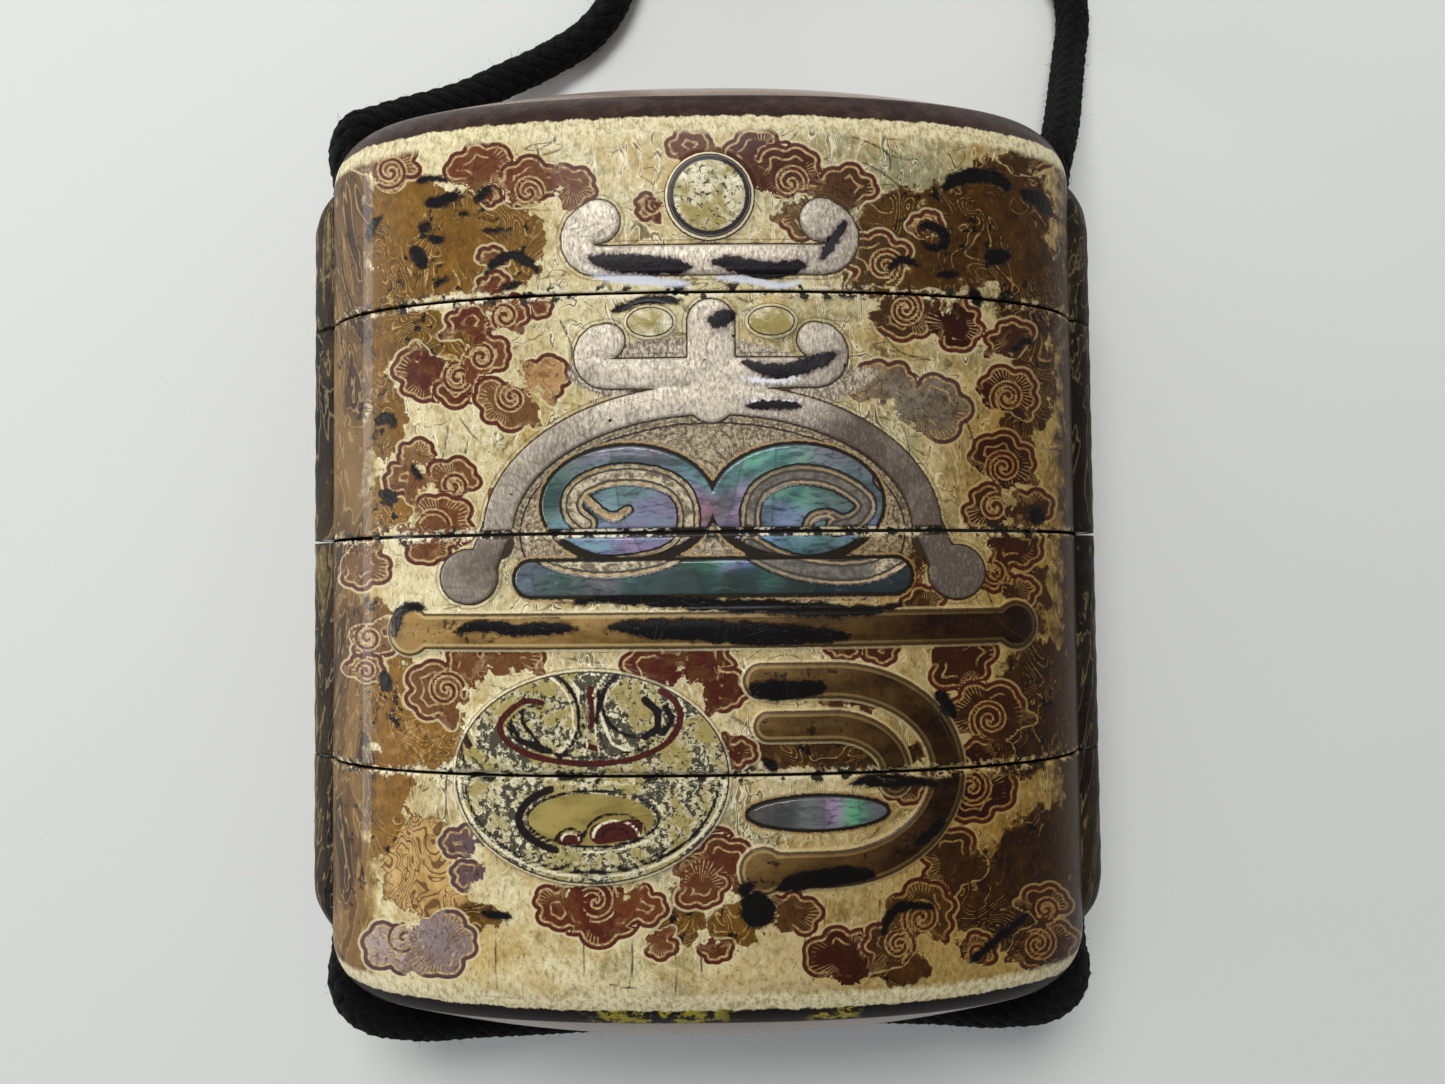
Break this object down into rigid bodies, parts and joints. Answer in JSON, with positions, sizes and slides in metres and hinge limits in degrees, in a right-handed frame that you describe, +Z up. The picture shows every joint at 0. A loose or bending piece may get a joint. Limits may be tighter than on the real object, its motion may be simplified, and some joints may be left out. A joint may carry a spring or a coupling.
{
  "type": "inro case",
  "caption": "Stacked lacquer case with a lift-off lid, side channels for a black carrying cord, and an inlaid pewter and shell crest on its gold front.",
  "frame": {"origin": "middle of the case across its width and height, on the surface that it lies on", "axes": "+X to the right across the front, +Y from the base to the lid, +Z up out of the decorated front"},
  "size_m": [0.0686, 0.1451, 0.027],
  "materials": {
    "lacquer": "gloss lacquer in mottled cream and gold over black",
    "pewter": "worn warm grey pewter",
    "nacre": "polished iridescent shell",
    "cord": "black braided cord, slightly fuzzy"
  },
  "bodies": {
    "root": {"lid": "lacquer", "upper_case": "lacquer", "middle_case": "lacquer", "lower_case": "lacquer", "lid_pewter_bracket": "pewter", "pewter_arch": "pewter", "pewter_foot_left": "pewter", "pewter_foot_right": "pewter", "nacre_double_lobe": "nacre", "nacre_strip": "nacre", "nacre_oval": "nacre", "cord_left": "cord", "cord_right": "cord", "cord_base_loop": "cord", "cord_coil": "cord", "cord_knot": "cord"}
  },
  "joints": []
}
